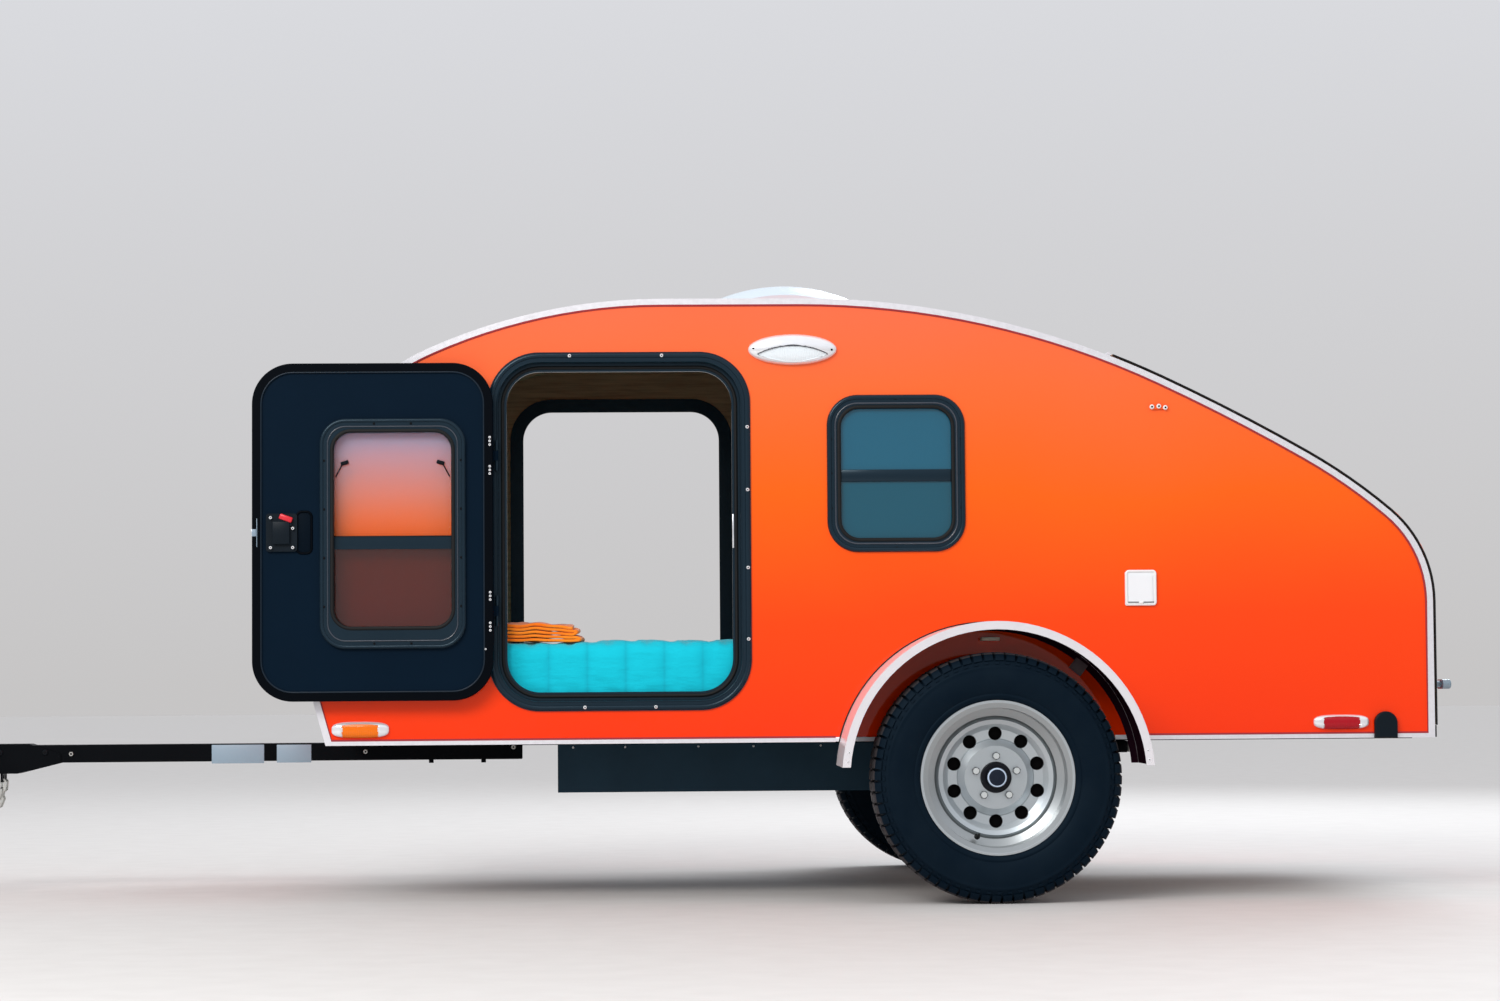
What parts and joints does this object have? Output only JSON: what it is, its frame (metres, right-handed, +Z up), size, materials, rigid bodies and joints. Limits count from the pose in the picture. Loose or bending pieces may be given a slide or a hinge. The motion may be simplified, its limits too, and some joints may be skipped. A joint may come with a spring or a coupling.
{
  "type": "teardrop trailer",
  "caption": "Teardrop camping trailer with a curved insulated body, side doors folded open, a rear galley hatch, rolled fenders, a straight tongue and a swing-up jack.",
  "frame": {"origin": "on the ground, at the middle of the overall length and width", "axes": "+X to the rear, +Y to the right side, +Z up"},
  "size_m": [4.402, 2.104, 1.758],
  "materials": {
    "body_paint": "glossy orange paint outside, birch ply inside",
    "roof_paint": "glossy orange skin outside, wood lining inside",
    "edge_trim": "satin extruded trim",
    "fender": "polished sheet",
    "frame_black": "fine matte black",
    "door_black": "fine textured blue-black",
    "glass_tint": "tinted",
    "glass_clear": "lightly tinted",
    "latch_black": "satin",
    "wood_floor": "varnished ply",
    "wood_galley": "oiled birch ply",
    "steel_black": "black powder coat",
    "steel_zinc": "zinc plated",
    "box_black": "black sheet",
    "chrome": "polished",
    "lamp_white": "ribbed clear lens on chrome",
    "lamp_marker": "coloured lens in a chrome rim",
    "lamp_red": "red lens",
    "fitting_white": "white moulded",
    "vent_white": "milky",
    "tyre_rubber": "matte",
    "rim_silver": "warm silver paint",
    "hub_black": "black cap and plated nuts",
    "bedding_teal": "quilted cotton",
    "throw_orange": "soft woven"
  },
  "bodies": {
    "body": {"side_wall_left": "body_paint", "side_wall_right": "body_paint", "roof_shell": "roof_paint", "floor": "wood_floor", "rear_sill": "steel_black", "bulkhead": "wood_galley", "chassis_rails": "steel_black", "crossmembers": "steel_black", "galley_cabinet": "wood_galley", "galley_counter": "wood_galley", "galley_shelf": "wood_galley", "edge_trims": "edge_trim", "fenders": "fender", "door_frame_left": "frame_black", "door_frame_right": "frame_black", "window_frames": "frame_black", "window_glass": "glass_tint", "porch_lights": "lamp_white", "marker_lights": "lamp_marker", "side_fittings": "fitting_white", "rear_ports": "frame_black", "hatch_hinge": "edge_trim", "strut_studs": "steel_zinc", "vent_base": "vent_white", "tongue_beam": "steel_black", "tongue_sleeve": "steel_black", "coupler": "steel_black", "safety_chains": "steel_zinc", "jack_bracket": "steel_zinc", "underfloor_box": "box_black", "axle_beam": "steel_black", "wheel_arms": "steel_black", "mattress": "bedding_teal", "throw": "throw_orange"},
    "door_left": {"door_leaf_left": "door_black", "door_window_left": "frame_black", "door_glass_left": "glass_clear", "door_latch_left": "latch_black"},
    "door_right": {"door_leaf_right": "door_black", "door_window_right": "frame_black", "door_glass_right": "glass_clear", "door_latch_right": "latch_black"},
    "hatch": {"hatch_shell": "roof_paint", "hatch_strip": "edge_trim", "hatch_latches": "chrome", "tail_lights": "lamp_red", "hatch_brackets": "steel_black"},
    "vent": {"vent_lid": "vent_white"},
    "wheel_left": {"tyre_left": "tyre_rubber", "rim_left": "rim_silver", "hub_left": "hub_black"},
    "wheel_right": {"tyre_right": "tyre_rubber", "rim_right": "rim_silver", "hub_right": "hub_black"},
    "jack": {"jack_tube": "steel_zinc"},
    "jack_foot": {"jack_leg": "steel_zinc"},
    "strut_cyl_left": {"strut_cylinder_left": "steel_black"},
    "strut_piston_left": {"strut_rod_left": "chrome"},
    "strut_cyl_right": {"strut_cylinder_right": "steel_black"},
    "strut_piston_right": {"strut_rod_right": "chrome"}
  },
  "joints": [
    {"name": "wheel_left_spin", "type": "hinge", "parent": "body", "child": "wheel_left", "pos_m": [0.917, -0.937, 0.334], "axis": [0, 1, 0], "continuous": true},
    {"name": "wheel_right_spin", "type": "hinge", "parent": "body", "child": "wheel_right", "pos_m": [0.917, 0.937, 0.334], "axis": [0, 1, 0], "continuous": true},
    {"name": "door_left_swing", "type": "hinge", "parent": "body", "child": "door_left", "pos_m": [-0.419, -0.7785, 1.007], "axis": [0, 0, 1], "range_deg": [0, 180]},
    {"name": "door_right_swing", "type": "hinge", "parent": "body", "child": "door_right", "pos_m": [-0.419, 0.7785, 1.007], "axis": [0, 0, -1], "range_deg": [0, 180]},
    {"name": "hatch_lift", "type": "hinge", "parent": "body", "child": "hatch", "pos_m": [1.26629, 0, 1.48998], "axis": [0, -1, 0], "range_deg": [0, 70]},
    {"name": "vent_lid_lift", "type": "hinge", "parent": "body", "child": "vent", "pos_m": [0.182, 0, 1.674], "axis": [0, -1, 0], "range_deg": [0, 60]},
    {"name": "jack_swing", "type": "hinge", "parent": "body", "child": "jack", "pos_m": [-1.986, -0.125, 0.398], "axis": [0, -1, 0], "range_deg": [0, 90]},
    {"name": "jack_wind", "type": "slide", "parent": "jack", "child": "jack_foot", "axis": [0, 0, 1], "range_m": [0, 0.245]},
    {"name": "strut_left_swing", "type": "hinge", "parent": "body", "child": "strut_cyl_left", "pos_m": [1.299, -0.716, 1.378], "axis": [0, -1, 0], "range_deg": [0, 72.2]},
    {"name": "strut_left_slide", "type": "slide", "parent": "strut_cyl_left", "child": "strut_piston_left", "axis": [0.9119, 0, -0.4104], "range_m": [0, 0.1353]},
    {"name": "strut_right_swing", "type": "hinge", "parent": "body", "child": "strut_cyl_right", "pos_m": [1.299, 0.716, 1.378], "axis": [0, -1, 0], "range_deg": [0, 72.2]},
    {"name": "strut_right_slide", "type": "slide", "parent": "strut_cyl_right", "child": "strut_piston_right", "axis": [0.9119, 0, -0.4104], "range_m": [0, 0.1353]}
  ],
  "couplings": [
    {"joint": "strut_left_swing", "follows": "hatch_lift", "ratio": 1.0165},
    {"joint": "strut_left_slide", "follows": "hatch_lift", "m_per_rad": 0.10914},
    {"joint": "strut_right_swing", "follows": "hatch_lift", "ratio": 1.0165},
    {"joint": "strut_right_slide", "follows": "hatch_lift", "m_per_rad": 0.10914}
  ]
}
